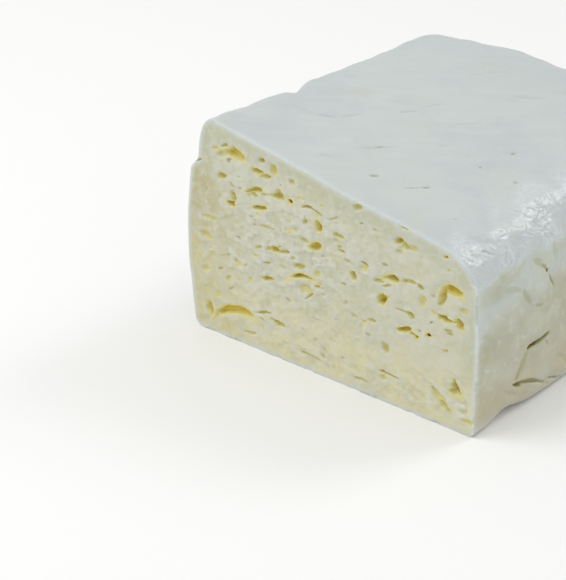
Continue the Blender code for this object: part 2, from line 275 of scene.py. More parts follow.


# the gaps in the cut: x and z, length, height, tilt and bend in degrees, depth, stain, which
# above about 1.1 paints a deep pit's shade dark brown, and for some how fast they taper
gaps = (
    # a broad gap high on the left, with a paler hollow, a knob and a drop
    (-38.8, 66.0, 9.2, 3.6, -4, 30, 2.6, 0.85),
    (-44.2, 64.8, 5.0, 2.4, 12, 0, 1.0, 0.40),
    (-42.9, 68.0, 2.6, 1.4, 20, 0, 1.2, 0.60),
    (-41.6, 63.0, 2.0, 1.5, -86, 0, 1.2, 0.45),
    # a ring of four about a pale island
    (-27.7, 66.8, 2.5, 1.9, 5, 0, 1.8, 0.70),
    (-29.5, 62.8, 5.6, 2.0, 0, 0, 2.0, 0.85),
    (-22.6, 65.0, 4.6, 2.8, -83, 0, 1.6, 0.70),
    (-25.8, 61.9, 5.4, 1.5, 12, 0, 1.4, 0.70),
    # the crowd below them
    (-44.6, 57.1, 3.8, 2.5, 5, 0, 1.6, 0.70),
    (-36.8, 58.8, 2.4, 1.2, 10, 0, 0.5, 0.30),
    (-39.5, 51.0, 4.8, 2.0, -72, 20, 2.0, 0.80),
    (-40.6, 48.7, 3.6, 1.9, 0, 0, 2.2, 0.90),
    (-30.7, 56.1, 8.2, 1.9, 16, 20, 2.2, 0.85),
    (-31.0, 54.2, 2.8, 1.6, 11, 0, 1.4, 0.60),
    (-20.9, 56.5, 5.4, 2.0, -2, 0, 2.0, 0.75),
    (-20.1, 57.8, 3.4, 2.8, -61, 0, 2.0, 0.80),
    (-15.8, 56.3, 1.9, 1.5, -20, 0, 2.8, 2.80),
    (-28.9, 50.5, 6.4, 1.6, 14, 0, 2.0, 0.85),
    (-26.8, 51.0, 2.0, 1.2, 10, 0, 2.6, 1.15),
    (-26.5, 44.7, 7.9, 1.2, 4, 0, 0.6, 0.30),
    (-15.2, 63.1, 2.2, 1.8, 5, 0, 1.0, 0.45),
    # shallow stains along the left edge
    (-50.2, 41.0, 7.5, 1.8, 0, 0, 0.8, 0.45),
    (-51.9, 34.3, 6.2, 2.6, -14, 0, 1.0, 0.50),
    (-52.1, 22.2, 4.2, 2.8, 12, 0, 0.8, 0.45),
    (-55.0, 60.0, 5.0, 0.9, 20, 0, 1.2, 0.40),
    # a hooked gap right of the crowd
    (-7.2, 56.5, 9.0, 1.2, -6, 60, 1.8, 0.75),
    (-4.6, 51.5, 4.0, 2.7, -88, 0, 2.2, 0.95),
    (-9.8, 51.6, 4.0, 1.5, -95, 0, 1.2, 0.45),
    (-5.6, 44.1, 4.6, 2.9, 17, 0, 2.4, 0.90),
    (-10.0, 44.7, 4.6, 1.4, -5, 0, 0.9, 0.40),
    (-22.2, 38.0, 4.4, 2.1, 13, 20, 2.0, 0.85),
    (-18.6, 38.1, 5.4, 1.2, 15, 0, 1.4, 0.65),
    # the arch over a broken hollow, in the middle
    (-12.0, 35.3, 4.8, 2.2, 12, 0, 1.4, 0.65),
    (-11.2, 32.3, 9.8, 1.3, 13, 50, 2.6, 1.00),
    (-9.9, 28.2, 6.0, 3.6, 21, 0, 1.0, 0.35),
    (-7.8, 26.2, 3.6, 0.9, 41, 0, 1.2, 0.60),
    (-4.6, 30.6, 1.8, 1.2, 13, 0, 1.0, 0.60),
    (-25.7, 32.3, 3.2, 1.3, 10, 0, 0.8, 0.45),
    (-25.6, 26.7, 4.9, 1.7, 12, 0, 1.6, 0.80),
    (-38.7, 29.2, 1.9, 1.4, 17, 0, 1.0, 0.60),
    (-45.8, 24.0, 1.8, 1.4, 17, 0, 0.8, 0.50),
    (-41.8, 21.7, 3.0, 2.1, 18, 0, 0.8, 0.45),
    # the long torn gaps low on the left
    (-50.7, 7.8, 5.4, 2.7, -63, 0, 2.0, 0.92),
    (-40.2, 10.8, 18.5, 3.2, 14, 65, 2.2, 0.92),
    (-27.4, 14.0, 7.0, 1.1, 17, 0, 1.2, 0.60),
    (-21.0, 12.3, 6.4, 1.9, -6, 0, 1.6, 0.70),
    # the scattered slits of the smooth middle
    (11.2, 62.2, 3.6, 2.0, 20, 0, 1.4, 0.45),
    (1.4, 55.6, 4.0, 1.0, 30, 0, 0.6, 0.30),
    (3.3, 50.6, 4.6, 1.6, -3, 0, 1.4, 0.60),
    (4.6, 45.7, 3.2, 1.0, 1, 0, 1.2, 0.65),
    (14.0, 44.3, 3.2, 1.1, -22, 0, 1.4, 0.65),
    (9.7, 39.1, 3.4, 1.9, -50, 40, 2.0, 0.85),
    (5.8, 35.0, 1.8, 1.0, -8, 0, 1.0, 0.60),
    (17.5, 26.1, 2.8, 1.3, -4, 0, 1.2, 0.60),
    (22.8, 18.8, 5.0, 2.3, -67, 25, 1.6, 0.60),
    # the group under the right shoulder
    (24.2, 42.8, 5.8, 2.0, 4, 50, 2.6, 0.95),
    (19.5, 40.2, 3.6, 1.2, 8, 0, 1.0, 0.50),
    (22.8, 39.9, 4.2, 1.0, 20, 0, 1.0, 0.50),
    (31.3, 43.9, 8.0, 1.4, 7, 30, 1.2, 0.55),
    (35.0, 43.4, 2.4, 1.6, -35, 0, 1.6, 0.70),
    (29.1, 60.8, 3.6, 1.4, 13, 0, 0.9, 0.45),
    (26.5, 55.6, 3.8, 2.0, 31, 0, 2.0, 0.80),
    (29.2, 54.9, 3.6, 1.9, -35, 0, 1.8, 0.75),
    (44.1, 55.9, 1.4, 1.0, 15, 0, 1.2, 0.90),
    (21.1, 34.9, 3.4, 3.4, 6, 0, 2.6, 0.90),
    (21.0, 33.5, 2.2, 1.4, 0, 0, 3.2, 1.15),
    (36.1, 39.2, 4.2, 3.0, -87, 0, 1.0, 0.50),
    (43.3, 42.8, 7.4, 2.4, 76, -12, 2.0, 0.75),
    (46.3, 45.8, 7.8, 2.7, 4, 70, 2.6, 0.95),
    (29.3, 33.2, 7.6, 1.0, -5, 20, 0.8, 0.40),
    (31.8, 32.8, 3.4, 1.9, -14, 0, 1.8, 0.70),
    (44.9, 35.9, 6.0, 1.7, -3, 0, 2.2, 0.90),
    (49.7, 35.7, 4.0, 2.2, -52, 0, 2.2, 0.90),
    (46.0, 32.5, 3.2, 1.3, 15, 0, 0.9, 0.50),
    (46.4, 31.4, 2.2, 1.0, 16, 0, 0.9, 0.55),
    (30.0, 27.4, 5.0, 2.0, 20, 0, 2.4, 0.90),
    (32.8, 27.0, 3.2, 1.2, -10, 0, 2.2, 0.90),
    (34.4, 26.5, 1.5, 1.1, -20, 0, 2.6, 2.40),
    (38.6, 28.5, 1.5, 1.2, 16, 0, 1.8, 2.60),
    (35.5, 28.8, 1.2, 1.0, 14, 0, 0.8, 0.50),
    # a three-cornered one low on the right, and the tears at the foot
    (49.3, 14.9, 5.4, 2.6, -82, 0, 3.6, 1.06, -0.85),
    (49.3, 14.9, 5.4, 2.6, 98, 0, 3.6, 0.80, 0.85),
    (50.4, 14.1, 3.0, 0.8, -66, 0, 3.9, 1.40),
    (23.4, 10.0, 8.8, 0.9, -2, 0, 1.2, 0.70),
    (44.2, 8.2, 9.4, 3.4, -36, 0, 0.9, 0.42),
    (42.2, 10.6, 4.8, 1.0, -32, 0, 1.8, 0.85),
    (45.0, 7.0, 6.0, 1.0, -38, 0, 1.5, 0.70),
    (54.4, 4.4, 4.6, 2.4, 10, 0, 0.8, 0.45),
    (14.0, 4.4, 7.0, 1.4, 6, 20, 0.8, 0.40),
    (-8.0, 5.2, 9.0, 1.2, -6, 0, 0.9, 0.45),
    (-33.0, 4.6, 6.0, 1.4, 8, -20, 0.8, 0.40),
)
# slits and creases of the moulded skin: y and z on the right and left, x and z on the end,
# x and y on the top, and then as for the gaps, where a stain above 1.3 paints a deep slit's shade
# near black
skinMarks = {
    "right": (
        (32.7, 20.7, 11.4, 1.7, 8, 0, 3.6, 1.35),
        (30.3, 20.1, 7.0, 1.1, 10, 0, 3.6, 3.0),
        (24.4, 16.0, 11.0, 3.0, 47, 0, 0.6, 0.30),
        (22.6, 13.6, 9.0, 1.2, 47, 0, 0.6, 0.42),
        (28.0, 8.4, 18.0, 1.5, -18, 24, 1.4, 0.42),
        (21.8, 9.6, 5.0, 1.6, -22, 0, 2.2, 0.95),
        (43.0, 3.4, 9.0, 1.1, -22, 0, 1.2, 0.25),
        (31.9, 46.7, 7.0, 3.0, -34, 0, 0.5, 0.22),
        (34.8, 44.4, 4.2, 1.3, -44, 0, 0.5, 0.42),
        (36.6, 42.4, 1.5, 1.2, -20, 0, 2.6, 2.60),
        (39.0, 38.4, 5.6, 0.9, -62, 0, 0.8, 0.62),
        (19.0, 42.0, 11.5, 2.4, -14, 30, 0.5, 0.19),
        (25.6, 38.0, 8.0, 2.2, -59, 0, 0.5, 0.19),
        (32.1, 32.6, 5.4, 1.4, -11, 0, 0.4, 0.20),
        (36.4, 18.7, 2.9, 0.8, -55, 0, 0.5, 0.40),
        (9.0, 57.1, 9.5, 1.2, -35, 0, 0.5, 0.30),
        (79.0, 40.0, 7.0, 1.0, 24, 0, 1.8, 1.30),
        (98.0, 22.0, 5.0, 1.0, -12, 20, 0.9, 0.70),
        (66.0, 12.0, 9.0, 1.4, -8, 0, 0.6, 0.40),
    ),
    "top": (
        (-4.1, 29.8, 12.9, 0.7, 49, 0, 0.4, 0.12),
        (-4.1, 30.0, 3.4, 0.7, 49, 0, 0.7, 0.36),
        (4.8, 16.1, 3.5, 0.8, 49, 0, 0.9, 0.45),
        (17.2, 19.0, 5.0, 0.7, 48, 0, 0.5, 0.27),
        (20.4, 22.2, 3.0, 0.9, 42, 0, 0.9, 0.45),
        (26.5, 59.3, 3.0, 1.0, 56, 0, 0.6, 0.27),
        (37.7, 44.4, 2.0, 0.8, 24, 0, 0.9, 0.36),
        (-12.9, 56.3, 6.8, 0.8, 58, 0, 0.5, 0.21),
        (24.7, 44.2, 1.0, 0.8, 45, 0, 0.6, 0.30),
        (9.3, 45.5, 3.9, 0.8, 47, 0, 0.3, 0.12),
        (-36.4, 31.1, 11.0, 1.4, 8, -20, 0.35, 0.03),
        (-28.1, 33.4, 8.0, 1.4, 29, -20, 0.35, 0.03),
        (-23.0, 39.0, 9.0, 1.4, 60, -10, 0.30, 0.03),
        (-10.9, 65.6, 11.0, 1.5, 66, 0, 0.30, 0.00),
        (5.4, 64.0, 11.0, 1.5, 50, 0, 0.30, 0.00),
        (11.1, 92.0, 14.0, 1.9, 30, 0, 0.35, 0.00),
        (-9.4, 96.2, 16.0, 1.9, 44, 0, 0.30, 0.00),
        (-12.0, 12.5, 6.3, 1.0, 38, 0, 0.25, 0.03),
    ),
    "left": (
        (52.0, 40.0, 9.0, 1.2, 12, 0, 2.0, 0.95),
        (90.0, 26.0, 5.0, 1.4, -16, 0, 1.0, 0.60),
        (24.0, 20.0, 12.0, 1.6, 6, 25, 0.5, 0.30),
        (74.0, 53.0, 7.0, 1.2, -30, 0, 0.5, 0.30),
        (108.0, 46.0, 3.0, 1.6, 40, 0, 1.2, 0.70),
    ),
    "end": (
        (-22.0, 44.0, 8.0, 1.2, -8, 0, 2.2, 1.00),
        (24.0, 24.0, 4.5, 1.8, 20, 0, 1.6, 0.70),
        (4.0, 30.0, 14.0, 1.6, 5, 30, 0.4, 0.20),
        (-38.0, 20.0, 6.0, 1.4, -40, 0, 0.6, 0.40),
    ),
}
# the curd that the knife opened
cutCurd = {
    "bandMiddle": (-18.0, 40.0),  # the crumbly band of the cut, in x and z
    "bandSpread": (30.0, 19.0),
    "bandFade": 1.4,  # how slowly it ends, against its spread
    "faintCount": 90,  # small faint gaps, most of them in the band
    "faintSeed": 23,
    "faintMargin": 5.0,  # none nearer the cut's edge
    "faintLengths": (0.9, 3.2),
    "faintSlimness": (0.35, 0.8),  # height against length
    "faintTilts": (4, 22),  # mean and spread
    "faintDepths": (0.3, 0.9),
    "faintStains": (0.2, 0.6),
    "inTheBand": 0.75,
    "ragged": ((0.48, 2.2), (0.34, 1.1)),  # how far a rim wanders, and over what span
    "wall": (0.45, 1.15),  # where a gap's wall ends and starts, as shares of its radius
    "calmSize": 1.6,  # rims of gaps broader than this wander less
    "slimmest": 0.1,  # a tapering gap gets no slimmer than this share of its height
    "stainPast": 0.2,  # how far the stain goes past the wall, as a share of the radius
    "halo": 2.6,  # mm of stained and then bleached curd round a gap
    "roofShare": 0.18,  # gaps are deeper under their upper edge, and darker there by painted shade
    "crumbs": ((0.30, 2.3), (0.18, 1.1), (0.10, 0.6)),  # height and span
    "terrace": (0.34, 6.5),  # torn steps: height and span
    "terraceLayers": 2.0,  # how much flatter than wide they lie
    "terraceDetail": (0.3, 4),  # strength of their finer tears, and how much finer those are
    "terraceEdge": (-0.08, 0.12),  # the closer these are, the steeper the steps
    "highCurd": 0.45,  # crumbs higher than this reach the knife's plane
    "smoothShare": 0.24,  # what is left of the relief outside the band
    "roughFoot": 0.7,  # how rough the foot is, and the curd round the gaps, against the band
    "roughHalo": 0.8,
    "tornFoot": (19.0, 4.0),  # the curd broke away raggedly below these heights
    "tornCorner": (53.0, 9.0, 7.0, 0.6),  # x and z of its middle, reach, how much rougher
    "rimWidth": 0.05,  # points this near the rim are on it
    "calmRim": (0.3, 5.0),  # the relief grows over these distances from the rim
    "wear": ((0.30, 14.0), (0.22, 3.4)),  # how far the cut's edge wanders, and over what span
    "footWear": (0.9, 4.5, 7.0, 1.0),  # depth and span, growing from one height to the other
    "wearReach": 4.0,  # how far back from the knife's plane it can be seen
    "rind": (12.0, 2.0, 0.5, 8.0),  # denser from and fully at these distances in, unevenness, span
    "butter": (-28.0, -56.0, 74.0, 44.0),  # yellower curd: from and to in x, from and to in z
}


def insideCut(x, z, margin):
    return abs(x) < blockForm["width"] / 2 - margin and margin < z < topHeight(x, 0) - margin


def faintGaps():
    draw = random.Random(cutCurd["faintSeed"])
    half = blockForm["width"] / 2
    made = 0
    while made < cutCurd["faintCount"]:
        if draw.random() < cutCurd["inTheBand"]:
            spreads = zip(cutCurd["bandMiddle"], cutCurd["bandSpread"])
            x, z = [draw.gauss(*spread) for spread in spreads]
        else:
            x, z = draw.uniform(-half, half), draw.uniform(0, blockForm["height"])
        if not insideCut(x, z, cutCurd["faintMargin"]):
            continue
        made += 1
        length, depth, stain = [
            draw.uniform(*cutCurd[name]) for name in ("faintLengths", "faintDepths", "faintStains")
        ]
        height = length * draw.uniform(*cutCurd["faintSlimness"])
        yield x, z, length, height, draw.gauss(*cutCurd["faintTilts"]), 0, depth, stain


def hollowsAt(u, v, ragged, hollows):
    # how deep the hollows of one side are at u, v, how stained, with painted shade under their
    # upper edges, and how near
    depth, stain, halo = np.zeros((3, len(u)))
    endWall, startWall = cutCurd["wall"]
    for midU, midV, length, height, tilt, arc, deep, tint, *tapers in hollows:
        close = np.hypot(u - midU, v - midV) < length / 2 + 2 * height + 1  # all that it reaches
        turn = math.radians(tilt)
        offU, offV = u[close] - midU, v[close] - midV
        along = offU * math.cos(turn) + offV * math.sin(turn)
        across = offV * math.cos(turn) - offU * math.sin(turn)
        if arc:
            radius = length / math.radians(arc)
            facingOut = math.copysign(1, radius)
            fromCentre = facingOut * (across + radius)
            across = facingOut * np.hypot(along, fromCentre) - radius
            along = radius * np.arctan2(facingOut * along, fromCentre)
        for taper in tapers:
            across = across / np.maximum(1 - taper * along * 2 / length, cutCurd["slimmest"])
        reach = np.hypot(along * 2 / length, across * 2 / height)
        reach += ragged[close] * min(1.0, cutCurd["calmSize"] / height)
        inside = 1 - smoothStep(endWall, startWall, reach)
        roof = 1 + cutCurd["roofShare"] * np.clip(across * 2 / height, -1, 1)
        depth[close] = np.maximum(depth[close], deep * inside * roof)
        # the roof raises the stain too: painted shade under a gap's upper edge
        stained = tint * (1 - smoothStep(endWall, startWall + cutCurd["stainPast"], reach)) * roof
        stain[close] = np.maximum(stain[close], stained)
        past = (reach - startWall) * height / 2
        near = min(tint, 1.0) * (1 - smoothStep(0.0, cutCurd["halo"], past))
        halo[close] = np.maximum(halo[close], near)
    return depth, stain, halo


def bandShare(points):
    # 1 in the middle of the crumbly band
    (x, z), (spreadX, spreadZ) = cutCurd["bandMiddle"], cutCurd["bandSpread"]
    away = np.hypot((points[:, 0] - x) / spreadX, (points[:, 2] - z) / spreadZ)
    return bell(away / cutCurd["bandFade"])


def raggedAt(points, roughness):
    wander = sum(amount * noiseAt(points, span, "rims") for amount, span in cutCurd["ragged"])
    return wander * roughness


def carveCut(points, rimDepth):
    # the torn curd of the cut, all of it behind the knife's plane
    hollows = [*gaps, *faintGaps()]
    depth, stain, halo = hollowsAt(points[:, 0], points[:, 2], raggedAt(points, 1.0), hollows)
    crumb = sum(height * noiseAt(points, span, "crumbs") for height, span in cutCurd["crumbs"])
    height, span = cutCurd["terrace"]
    strength, finer = cutCurd["terraceDetail"]
    torn = noiseAt(points * (1, 1, cutCurd["terraceLayers"]), span, "terrace")
    torn += strength * noiseAt(points, span / finer, "terraceDetail")
    crumb += height * (smoothStep(*cutCurd["terraceEdge"], torn) - 0.5)
    x, z, reach, rougher = cutCurd["tornCorner"]
    corner = bell(np.hypot(points[:, 0] - x, points[:, 2] - z) / reach)
    foot = cutCurd["roughFoot"] * smoothStep(*cutCurd["tornFoot"], points[:, 2])
    band = np.max((bandShare(points), cutCurd["roughHalo"] * halo, foot, corner), axis=0)
    amount = mixed(cutCurd["smoothShare"], 1.0 + rougher * corner, band)
    amount *= smoothStep(*cutCurd["calmRim"], rimDepth)
    recess = np.maximum(cutCurd["highCurd"] - crumb, 0.0) * amount
    return depth + recess, stain, halo, crumb * amount


def wearAt(points):
    # the knife's edge crumbled a little, and more so at the foot
    edge = points * (1, 0, 1)
    wear = sum(
        depth * (0.5 + 0.5 * noiseAt(edge, span, "wear")) for depth, span in cutCurd["wear"]
    )
    depth, span, low, full = cutCurd["footWear"]
    broken = np.maximum(noiseAt(edge, span, "footWear"), 0)
    wear += depth * broken * smoothStep(low, full, edge[:, 2])
    return wear * np.clip(1 - points[:, 1] / cutCurd["wearReach"], 0, 1)


def pasteShares(points, rimDepth):
    # the denser rim of the cut, and its yellower left
    start, full, unevenness, span = cutCurd["rind"]
    uneven = 1 + unevenness * noiseAt(points, span, "rind")
    rind = smoothStep(start, full, rimDepth * uneven)
    start, full, top, foot = cutCurd["butter"]
    return rind, smoothStep(start, full, points[:, 0]) * smoothStep(top, foot, points[:, 2])


# the skin that the cloth and the mould pressed
skinCurd = {
    "streak": (0.36, 4.2, 20.0, 41.0),  # height, width, length and heading of long low waves
    "dimple": (0.40, 9.0),  # height and span
    "peel": (0.05, 1.3),
    "stillFoot": (1.0, 6.0),  # the relief grows over these heights
    "calmRim": 3.0,  # and over this distance from the cut
    "wallFacing": (0.45, 0.02),  # the walls start and are full where the skin faces up this much
    "wallFoot": (0.5, 7.0),  # and at these heights
    "sideFacing": 0.6,  # a mark belongs to the side that the skin faces this much
    "lumps": ((0.60, 9.0), (0.34, 4.4), (0.12, 2.0)),  # the walls, pressed by the cloth
    "lumpStretch": 0.55,  # which drew the lumps out along the block
    "lobes": (  # soft lobes and hollows of the right wall: y and z, reach, rise
        ((13.0, 45.0), (10.0, 7.0), -0.6),
        ((20.5, 36.5), (7.0, 5.0), 0.5),
        ((5.0, 27.0), (4.0, 6.0), -0.5),
        ((29.0, 31.0), (9.0, 4.5), -0.5),
        ((28.0, 25.5), (7.0, 2.6), 0.5),
        ((43.0, 29.0), (7.0, 7.0), -0.4),
        ((35.5, 12.0), (8.0, 5.5), 0.9),
        ((15.0, 17.0), (5.0, 8.0), 0.5),
        ((9.0, 10.0), (5.0, 4.0), -0.5),
    ),
    "lowWallShade": (40.0, 20.0),  # painted shade and warm bounce light, from and fully at these heights
    "lowLean": (0.22, 50.0),  # which climb this fast away from the cut, and up to where
    "lowWander": (8.0, 13.0),  # height and span
    "lowElsewhere": 0.3,  # how much of that painted shade the other walls get, against the right one by the cut
    "lowFacing": (0.1, 0.7),  # how much the right one faces right where it starts and is full
    "lowFade": (45.0, 85.0),  # over which distances from the cut it turns as the others are
    "crease": (0.45, 24.0, 0.05),  # depth, span and width of the cloth's faint creases
    "creasePatches": (-0.1, 0.3),  # only patches of them show
    "footLine": (0.9, 5.2, 1.9, 26.0, 1.1),  # depth, height, wander, its span, half width
    "footPatches": (-0.25, 0.1),
    "footStart": (22.0, 40.0),  # the line round the foot starts between these distances in
    "folds": ((0.22, 2.3), (0.11, 1.15)),  # the film that gathered in wrinkles on the shoulder
    "foldSharpness": 3.4,  # higher makes them narrower
    "foldHollow": -0.5,  # how deep it sinks between them
    "foldWarp": (3.0, 4.6),  # how far they wander, and over what span
    "filmPlace": (35.0, 50.0, 0.02, 0.42),  # from and to in x, and in how far up the skin faces
    "filmWander": (6.0, 0.12, 8.0),  # how unevenly it starts in either, and over what span
    "filmPatches": (-0.35, 0.10),
    "filmPatchSpan": 8.0,
    "filmThinnest": 0.4,  # how much film the patches leave
    "filmReach": (50.0, 78.0),  # the wrinkles fade between these distances from the cut
    "filmFade": 0.8,  # and by how much
    "filmLeast": 0.02,  # less film than this has no wrinkles
    "markRaggedness": 0.6,
    "faintMarks": {  # count, then the lowest and highest places, on the moulded walls
        "right": (12, (50.0, 8.0), (116.0, 50.0)),
        "left": (20, (8.0, 8.0), (116.0, 52.0)),
        "end": (18, (-44.0, 8.0), (44.0, 54.0)),
        "top": (0, (0, 0), (0, 0)),
    },
    "faintSeed": 41,
    "faintLengths": (0.9, 5.0),
    "faintHeights": (0.6, 1.2),
    "faintPlumpest": 0.8,  # height against length
    "faintTilts": (0, 30),  # mean and spread
    "faintDepths": (0.2, 0.9),
    "faintStains": (0.1, 0.7),
}


def faintMarks(side):
    count, low, high = skinCurd["faintMarks"][side]
    draw = random.Random(skinCurd["faintSeed"] + count)
    for _ in range(count):
        u, v = [draw.uniform(*span) for span in zip(low, high)]
        length = draw.uniform(*skinCurd["faintLengths"])
        height = min(length * skinCurd["faintPlumpest"], draw.uniform(*skinCurd["faintHeights"]))
        tilt = draw.gauss(*skinCurd["faintTilts"])
        depth = draw.uniform(*skinCurd["faintDepths"])
        yield u, v, length, height, tilt, 0, depth, draw.uniform(*skinCurd["faintStains"])


def wallShare(points, normals):
    # 1 on the moulded walls, 0 on the top
    upright = smoothStep(*skinCurd["wallFacing"], normals[:, 2])
    return upright * smoothStep(*skinCurd["wallFoot"], points[:, 2])


def lowShadeShare(points, normals):
    # 1 on the lower part of the right wall by the cut, where painted shade and warm bounce light
    # from below darken the skin, less on the other walls
    lean, farthest = skinCurd["lowLean"]
    wander, span = skinCurd["lowWander"]
    edge = lean * np.minimum(points[:, 1], farthest) + wander * noiseAt(points, span, "lowWallShade")
    near = smoothStep(*skinCurd["lowFacing"], normals[:, 0])
    near = near * (1 - smoothStep(*skinCurd["lowFade"], points[:, 1]))
    low = smoothStep(*skinCurd["lowWallShade"], points[:, 2] - edge)
    return low * mixed(skinCurd["lowElsewhere"], 1.0, near)


def wallRelief(points):
    # the cloth's lumps and creases, the lobes by the cut, and the line round the foot
    drawn = points * (1, skinCurd["lumpStretch"], 1)
    relief = sum(height * noiseAt(drawn, span, "lumps") for height, span in skinCurd["lumps"])
    for middle, reach, rise in skinCurd["lobes"]:
        away = np.linalg.norm((points[:, 1:] - middle) / reach, axis=1)
        relief += rise * bell(away) * (points[:, 0] > 0)
    depth, span, width = skinCurd["crease"]
    patchy = smoothStep(*skinCurd["creasePatches"], noiseAt(points, span / 2, "creasePatches"))
    relief -= depth * patchy * bell(noiseAt(points, span, "creases") / width)
    depth, height, wander, span, halfWidth = skinCurd["footLine"]
    low = height + wander * noiseAt(points * (1, 1, 0), span, "footLine")
    patchy = smoothStep(*skinCurd["footPatches"], noiseAt(points, span / 2, "footPatches"))
    started = smoothStep(*skinCurd["footStart"], points[:, 1])
    return relief - depth * patchy * started * bell((points[:, 2] - low) / halfWidth)


def shoulderShare(points, normals):
    # 1 where the right shoulder turns over, most of it in the half by the cut
    start, full, steep, flat = skinCurd["filmPlace"]
    wander, tip, span = skinCurd["filmWander"]
    inward = points[:, 0] + wander * noiseAt(points, span, "filmEdge")
    upward = normals[:, 2] + tip * noiseAt(points, span, "filmTip")
    turning = smoothStep(start, full, inward) * smoothStep(steep, flat, upward)
    patches = noiseAt(points, skinCurd["filmPatchSpan"], "filmPatches")
    patchy = mixed(skinCurd["filmThinnest"], 1.0, smoothStep(*skinCurd["filmPatches"], patches))
    fade = skinCurd["filmFade"] * smoothStep(*skinCurd["filmReach"], points[:, 1])
    return turning * patchy * (1 - fade)


def skinRelief(points, film):
    # low waves and dimples, and wrinkles where the wet film lies, with the share of their ridges
    # that the material paints with glints
    height, width, length, heading = skinCurd["streak"]
    turned = points @ np.array(Matrix.Rotation(math.radians(heading), 3, "Z"))
    relief = height * noiseAt(turned / (length / width, 1, 1), width, "streaks")
    height, span = skinCurd["dimple"]
    relief += height * noiseAt(points, span, "dimples")
    height, span = skinCurd["peel"]
    relief += height * noiseAt(points, span, "peel")
    wet = film > skinCurd["filmLeast"]
    push, span = skinCurd["foldWarp"]
    ways = "foldWarpX", "foldWarpY", "foldWarpZ"
    warp = np.stack([noiseAt(points[wet], span, way) for way in ways], axis=1)
    foldGlint = np.zeros(len(points))
    for height, span in skinCurd["folds"]:
        line = np.abs(noiseAt(points[wet] + push * warp, span, "folds"))
        ridge = 1 - skinCurd["foldSharpness"] * line
        relief[wet] += height * film[wet] * np.clip(ridge, skinCurd["foldHollow"], 1)
        foldGlint[wet] = np.maximum(foldGlint[wet], film[wet] * np.clip(ridge, 0, 1))
    return relief, foldGlint


def carve(block):
    # pushes every finer form into the block, and notes what the material reads of it
    mesh = block.data
    points = readPoints(mesh)
    normals = readNormals(mesh)
    onCut = points[:, 1] < onPlane
    normals[onCut, 1] = 0.0
    normals[onCut] /= np.maximum(np.linalg.norm(normals[onCut], axis=1, keepdims=True), tiny)
    onRim = onCut & (np.abs(normals).max(axis=1) > 0.5)  # only the rim faces sideways
    flat = onCut & ~onRim
    rim = KDTree(int(onRim.sum()))
    for index, point in enumerate(points[onRim].tolist()):
        rim.insert(point, index)
    rim.balance()
    rimDepth, rind, butter, stain, halo, crumb = np.zeros((6, len(points)))
    film, foldGlint, wall, lowWallShade, wallRise, crease = np.zeros((6, len(points)))
    rimDepth[flat] = [rim.find(point)[2] for point in points[flat].tolist()]
    depth, stain[flat], halo[flat], crumb[flat] = carveCut(points[flat], rimDepth[flat])
    rind[flat], butter[flat] = pasteShares(points[flat], rimDepth[flat])
    carved = points.copy()
    carved[flat, 1] += depth
    nearCut = points[:, 1] < cutCurd["wearReach"]
    carved[nearCut, 1] += wearAt(points[nearCut])
    print("cheese: cut carved")

    skin = ~flat & (points[:, 2] > skinCurd["stillFoot"][0])
    film[skin] = shoulderShare(points[skin], normals[skin])
    wall[skin] = wallShare(points[skin], normals[skin])
    relief = np.zeros(len(points))
    relief[skin], foldGlint[skin] = skinRelief(points[skin], film[skin])
    lowWallShade[skin] = wall[skin] * lowShadeShare(points[skin], normals[skin])
    wallRise[skin] = wall[skin] * wallRelief(points[skin])
    relief += wallRise
    grown = smoothStep(*skinCurd["stillFoot"], points[skin, 2])
    relief[skin] *= grown * smoothStep(0.0, skinCurd["calmRim"], points[skin, 1])
    sides = {  # which way each faces, and the two coordinates its marks are placed by
        "right": (normals[:, 0], 1, 2),
        "left": (-normals[:, 0], 1, 2),
        "end": (normals[:, 1], 0, 2),
        "top": (normals[:, 2], 0, 1),
    }
    for side, (facing, u, v) in sides.items():
        here = skin & (facing > skinCurd["sideFacing"])
        spots = points[here]
        ragged = raggedAt(spots, skinCurd["markRaggedness"])
        hollows = [*skinMarks[side], *faintMarks(side)]
        depth, crease[here], _ = hollowsAt(spots[:, u], spots[:, v], ragged, hollows)
        relief[here] -= depth
    carved += normals * relief[:, None]
    writePoints(mesh, carved)
    measures = {
        "rimDepth": rimDepth,
        "rind": rind,
        "butter": butter,
        "stain": stain,
        "halo": halo,
        "crumb": crumb,
        "wetFilm": film,
        "foldGlint": foldGlint,
        "wall": wall,
        "lowWallShade": lowWallShade,
        "wallRise": wallRise,
        "crease": crease,
        "cutDistance": points[:, 1],
        "height": points[:, 2],
    }
    for name, values in measures.items():
        kept = mesh.attributes.new(name, "FLOAT", "POINT")
        kept.data.foreach_set("value", values.astype(np.float32))
    print("cheese: skin carved")


def thin(block, triangles):
    # flat stretches lose most of their faces, and the torn curd keeps its own
    decimate = block.modifiers.new("thin", "DECIMATE")
    decimate.ratio = triangles / (2 * len(block.data.polygons))  # each face is two triangles
    bpy.context.view_layer.objects.active = block
    bpy.ops.object.modifier_apply(modifier=decimate.name)
    print("cheese: thinned to", len(block.data.polygons), "triangles")


def sharpenRim(mesh):
    # the knife left a crisp edge, which smooth shading would smear
    onRim = np.ones(len(mesh.vertices), dtype=bool)
    for name in ("rimDepth", "cutDistance"):
        values = np.empty(len(mesh.vertices), dtype=np.float32)
        mesh.attributes[name].data.foreach_get("value", values)
        onRim &= values < cutCurd["rimWidth"]
    ends = np.empty(len(mesh.edges) * 2, dtype=np.int32)
    mesh.edges.foreach_get("vertices", ends)
    crisp = mesh.attributes.new("sharp_edge", "BOOLEAN", "EDGE")
    crisp.data.foreach_set("value", onRim[ends].reshape(-1, 2).all(axis=1))


